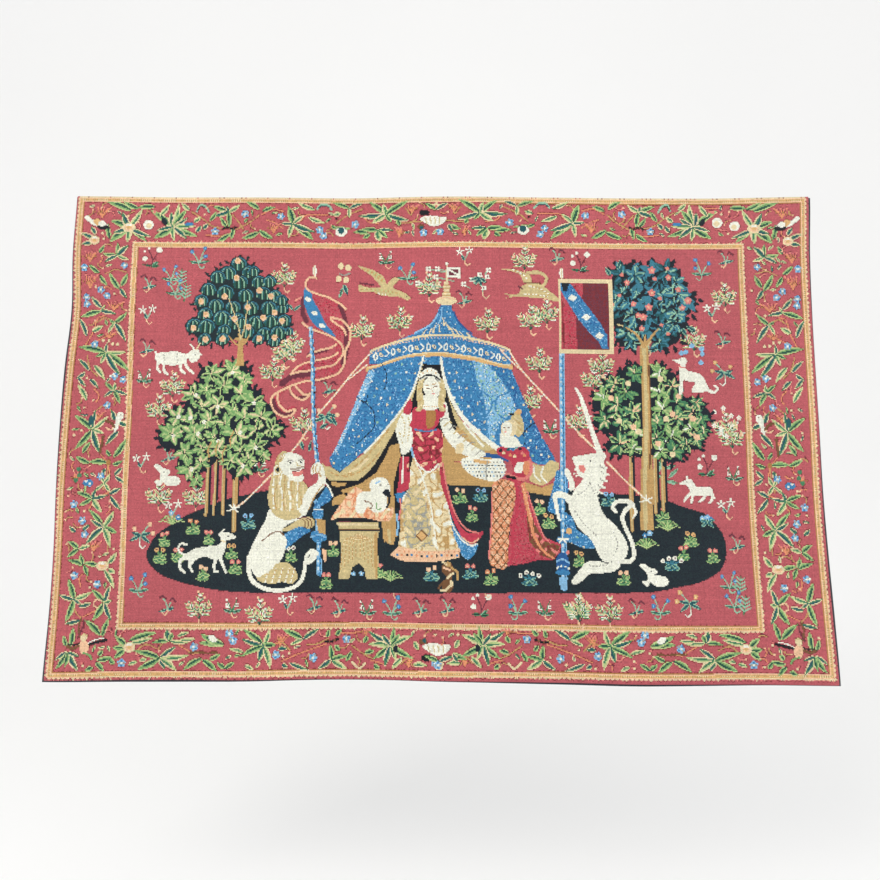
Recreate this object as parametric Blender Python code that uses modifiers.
"""A lined, machine-woven tapestry that hangs on a rod in a sleeve across its back.

Metres, +Z up, +X to the right of someone facing the picture, which looks towards -Y.
The wall is on the +Y side. The origin is the middle of the rod channel, where it is held.
"""

import math

import bmesh
import bpy
from mathutils import Vector

# Picture cloth: a jacquard weave whose four edges are turned to the back and pressed flat.
FACE_WIDTH = 1.395
FACE_HEIGHT = 0.895
FACE_THICKNESS = 0.0014
FACE_CORNER_RADIUS = 0.006
HEM_WIDTH = 0.016

# Lining: stands proud of the picture cloth at the sides and the bottom as a thin dark edge.
LINING_THICKNESS = 0.0008
LINING_OVERHANG = 0.0025

# Rod sleeve: a strip sewn along its top and bottom edges, bowed out to take a rod.
SLEEVE_THICKNESS = 0.0008
CHANNEL_DEPTH = 0.020
CHANNEL_HEIGHT = 0.022
SLEEVE_SHOULDER = 0.011
SLEEVE_FLANGE = 0.009
SLEEVE_TO_TOP_HEM = 0.006
SLEEVE_TO_SIDE_HEM = 0.014

# Sewing thread.
THREAD_RADIUS = 0.0004
SLEEVE_SEAM_INSET = 0.004
SLEEVE_SEAM_END_INSET = 0.006
EDGE_SEAM_INSET = 0.006
THREAD_END_GAP = 0.003

GAP = 0.0003
CUTTER_MARGIN = 0.002
CORNER_SEGMENTS = 4
SHOULDER_STEPS = 10

# Layers from the picture to the wall, measured from the middle of the rod channel.
LINING_BACK_Y = -CHANNEL_DEPTH / 2
LINING_FRONT_Y = LINING_BACK_Y - LINING_THICKNESS
HEM_BACK_Y = LINING_FRONT_Y - GAP
FACE_BACK_Y = HEM_BACK_Y - FACE_THICKNESS
FACE_FRONT_Y = FACE_BACK_Y - FACE_THICKNESS
FLANGE_FRONT_Y = LINING_BACK_Y + GAP
SLEEVE_BACK_Y = CHANNEL_DEPTH / 2 + SLEEVE_THICKNESS

# Heights and widths that follow from the sizes above.
SLEEVE_HALF_HEIGHT = CHANNEL_HEIGHT / 2 + SLEEVE_SHOULDER + SLEEVE_FLANGE
FACE_TOP_Z = HEM_WIDTH + SLEEVE_TO_TOP_HEM + SLEEVE_HALF_HEIGHT
FACE_BOTTOM_Z = FACE_TOP_Z - FACE_HEIGHT
LINING_BOTTOM_Z = FACE_BOTTOM_Z - LINING_OVERHANG
LINING_HALF_WIDTH = FACE_WIDTH / 2 + LINING_OVERHANG
SLEEVE_LENGTH = FACE_WIDTH - 2 * (HEM_WIDTH + SLEEVE_TO_SIDE_HEM)
RECESS_HALF_WIDTH = FACE_WIDTH / 2 - HEM_WIDTH
RECESS_TOP_Z = FACE_TOP_Z - HEM_WIDTH
RECESS_BOTTOM_Z = FACE_BOTTOM_Z + HEM_WIDTH


def new_collection(name):
    made = bpy.data.collections.new(name)
    bpy.context.scene.collection.children.link(made)
    return made


def cloth_material(name, colour, roughness):
    """A matt, non-metallic material for cloth or thread."""
    made = bpy.data.materials.new(name)
    made.use_nodes = True
    shader = made.node_tree.nodes["Principled BSDF"]
    shader.inputs["Base Color"].default_value = (*colour, 1.0)
    shader.inputs["Roughness"].default_value = roughness
    shader.inputs["Metallic"].default_value = 0.0
    return made


def slab(name, collection, low, high, corner_radius=0.0):
    """A flat box from one corner to the other, with its four corners rounded as seen from the front."""
    low, high = Vector(low), Vector(high)
    bm = bmesh.new()
    bmesh.ops.create_cube(bm, size=1.0)
    bmesh.ops.scale(bm, vec=high - low, verts=bm.verts)
    bmesh.ops.translate(bm, vec=(low + high) / 2, verts=bm.verts)
    if corner_radius > 0:
        along_y = [
            edge for edge in bm.edges
            if abs((edge.verts[0].co - edge.verts[1].co).normalized().y) > 0.99
        ]
        bmesh.ops.bevel(
            bm, geom=along_y, offset=corner_radius, segments=CORNER_SEGMENTS,
            profile=0.5, affect="EDGES", clamp_overlap=True,
        )
    mesh = bpy.data.meshes.new(name)
    bm.to_mesh(mesh)
    bm.free()
    made = bpy.data.objects.new(name, mesh)
    collection.objects.link(made)
    return made


def boolean(target, other, operation):
    made = target.modifiers.new(f"{operation.lower()}_{other.name}", "BOOLEAN")
    made.operation = operation
    made.solver = "EXACT"
    made.object = other
    other.hide_render = True
    other.display_type = "WIRE"


def make_face_cloth(parts, cutters, material):
    """The picture cloth: one layer thick in the middle and two where its edges are turned back."""
    face = slab(
        "face_cloth", parts,
        (-FACE_WIDTH / 2, FACE_FRONT_Y, FACE_BOTTOM_Z),
        (FACE_WIDTH / 2, HEM_BACK_Y, FACE_TOP_Z),
        FACE_CORNER_RADIUS,
    )
    recess = slab(
        "between_hems", cutters,
        (-RECESS_HALF_WIDTH, FACE_BACK_Y, RECESS_BOTTOM_Z),
        (RECESS_HALF_WIDTH, HEM_BACK_Y + CUTTER_MARGIN, RECESS_TOP_Z),
    )
    boolean(face, recess, "DIFFERENCE")
    face.data.materials.append(material)
    return face


def make_lining(parts, material):
    """The lining: one flat sheet over the whole back, lying on the turned hems."""
    lining = slab(
        "lining", parts,
        (-LINING_HALF_WIDTH, LINING_FRONT_Y, LINING_BOTTOM_Z),
        (LINING_HALF_WIDTH, LINING_BACK_Y, FACE_TOP_Z),
        FACE_CORNER_RADIUS + LINING_OVERHANG,
    )
    lining.data.materials.append(material)
    return lining


def sleeve_profile(offset=0.0):
    """Points (y, z) up the sleeve's wall side, moved outwards by offset.

    They run along a flange, a shoulder, the flat over the channel, a shoulder and a flange.
    """
    flange_y = FLANGE_FRONT_Y + SLEEVE_THICKNESS
    rise = SLEEVE_BACK_Y - flange_y
    foot = CHANNEL_HEIGHT / 2 + SLEEVE_SHOULDER
    lower = [(flange_y, -SLEEVE_HALF_HEIGHT)]
    for step in range(SHOULDER_STEPS + 1):
        share = step / SHOULDER_STEPS
        y = flange_y + rise * (1 - math.cos(math.pi * share)) / 2
        lower.append((y, -foot + SLEEVE_SHOULDER * share))
    points = lower + [(y, -z) for y, z in reversed(lower)]
    moved = []
    for index, (y, z) in enumerate(points):
        before = points[max(index - 1, 0)]
        after = points[min(index + 1, len(points) - 1)]
        along = Vector((after[0] - before[0], after[1] - before[1])).normalized()
        moved.append((y + along.y * offset, z - along.x * offset))
    return moved


def make_rod_sleeve(parts, material):
    """A strip bowed out over the channel, made as its wall-side surface and thickened inwards."""
    bm = bmesh.new()
    profile = [bm.verts.new((-SLEEVE_LENGTH / 2, y, z)) for y, z in sleeve_profile()]
    edges = [bm.edges.new(pair) for pair in zip(profile, profile[1:])]
    swept = bmesh.ops.extrude_edge_only(bm, edges=edges)
    far = [item for item in swept["geom"] if isinstance(item, bmesh.types.BMVert)]
    bmesh.ops.translate(bm, vec=(SLEEVE_LENGTH, 0, 0), verts=far)
    bmesh.ops.recalc_face_normals(bm, faces=bm.faces)
    if sum(face.normal.y for face in bm.faces) < 0:
        bmesh.ops.reverse_faces(bm, faces=bm.faces)
    mesh = bpy.data.meshes.new("rod_sleeve")
    bm.to_mesh(mesh)
    bm.free()
    sleeve = bpy.data.objects.new("rod_sleeve", mesh)
    parts.objects.link(sleeve)
    thicken = sleeve.modifiers.new("thickness", "SOLIDIFY")
    thicken.thickness = SLEEVE_THICKNESS
    thicken.offset = -1.0
    thicken.use_even_offset = True
    mesh.materials.append(material)
    return sleeve


def make_thread(name, parts, points, material):
    """One run of sewing thread through the points."""
    curve = bpy.data.curves.new(name, "CURVE")
    curve.dimensions = "3D"
    curve.bevel_depth = THREAD_RADIUS
    curve.bevel_resolution = 2
    curve.use_fill_caps = True
    spline = curve.splines.new("POLY")
    spline.points.add(len(points) - 1)
    for point, place in zip(spline.points, points):
        point.co = (*place, 1.0)
    thread = bpy.data.objects.new(name, curve)
    parts.objects.link(thread)
    curve.materials.append(material)
    return thread


def make_sleeve_seams(parts, material):
    """Two long seams hold the sleeve's edges, and an overcast thread covers each of its raw ends."""
    seam_y = FLANGE_FRONT_Y + SLEEVE_THICKNESS + GAP + THREAD_RADIUS
    seam_x = SLEEVE_LENGTH / 2 - SLEEVE_SEAM_END_INSET
    seam_z = SLEEVE_HALF_HEIGHT - SLEEVE_SEAM_INSET
    for name, z in (("sleeve_seam_upper", seam_z), ("sleeve_seam_lower", -seam_z)):
        make_thread(name, parts, [(-seam_x, seam_y, z), (seam_x, seam_y, z)], material)
    end_x = SLEEVE_LENGTH / 2 + GAP + THREAD_RADIUS
    middle = sleeve_profile(-SLEEVE_THICKNESS / 2)
    for name, x in (("sleeve_overcast_left", -end_x), ("sleeve_overcast_right", end_x)):
        make_thread(name, parts, [(x, y, z) for y, z in middle], material)


def make_edge_seams(parts, material):
    """Slip-stitched thread that holds the lining to the turned hem along each side."""
    y = LINING_BACK_Y + GAP + THREAD_RADIUS
    x = LINING_HALF_WIDTH - EDGE_SEAM_INSET
    top = FACE_TOP_Z - EDGE_SEAM_INSET
    bottom = LINING_BOTTOM_Z + EDGE_SEAM_INSET
    runs = (
        ("edge_seam_top", (-x, y, top), (x, y, top)),
        ("edge_seam_bottom", (-x, y, bottom), (x, y, bottom)),
        ("edge_seam_left", (-x, y, bottom + THREAD_END_GAP), (-x, y, top - THREAD_END_GAP)),
        ("edge_seam_right", (x, y, bottom + THREAD_END_GAP), (x, y, top - THREAD_END_GAP)),
    )
    for name, start, end in runs:
        make_thread(name, parts, [start, end], material)


def main():
    for existing in list(bpy.data.objects):
        bpy.data.objects.remove(existing, do_unlink=True)
    parts = new_collection("tapestry_wall_hanging")
    cutters = new_collection("cutters")
    make_face_cloth(parts, cutters, cloth_material("face_weave", (0.45, 0.12, 0.12), 0.85))
    make_lining(parts, cloth_material("lining_cloth", (0.030, 0.040, 0.065), 0.80))
    make_rod_sleeve(parts, cloth_material("sleeve_cloth", (0.035, 0.047, 0.075), 0.80))
    make_sleeve_seams(parts, cloth_material("sleeve_thread", (0.06, 0.08, 0.13), 0.60))
    make_edge_seams(parts, cloth_material("edge_thread", (0.05, 0.06, 0.10), 0.60))


main()
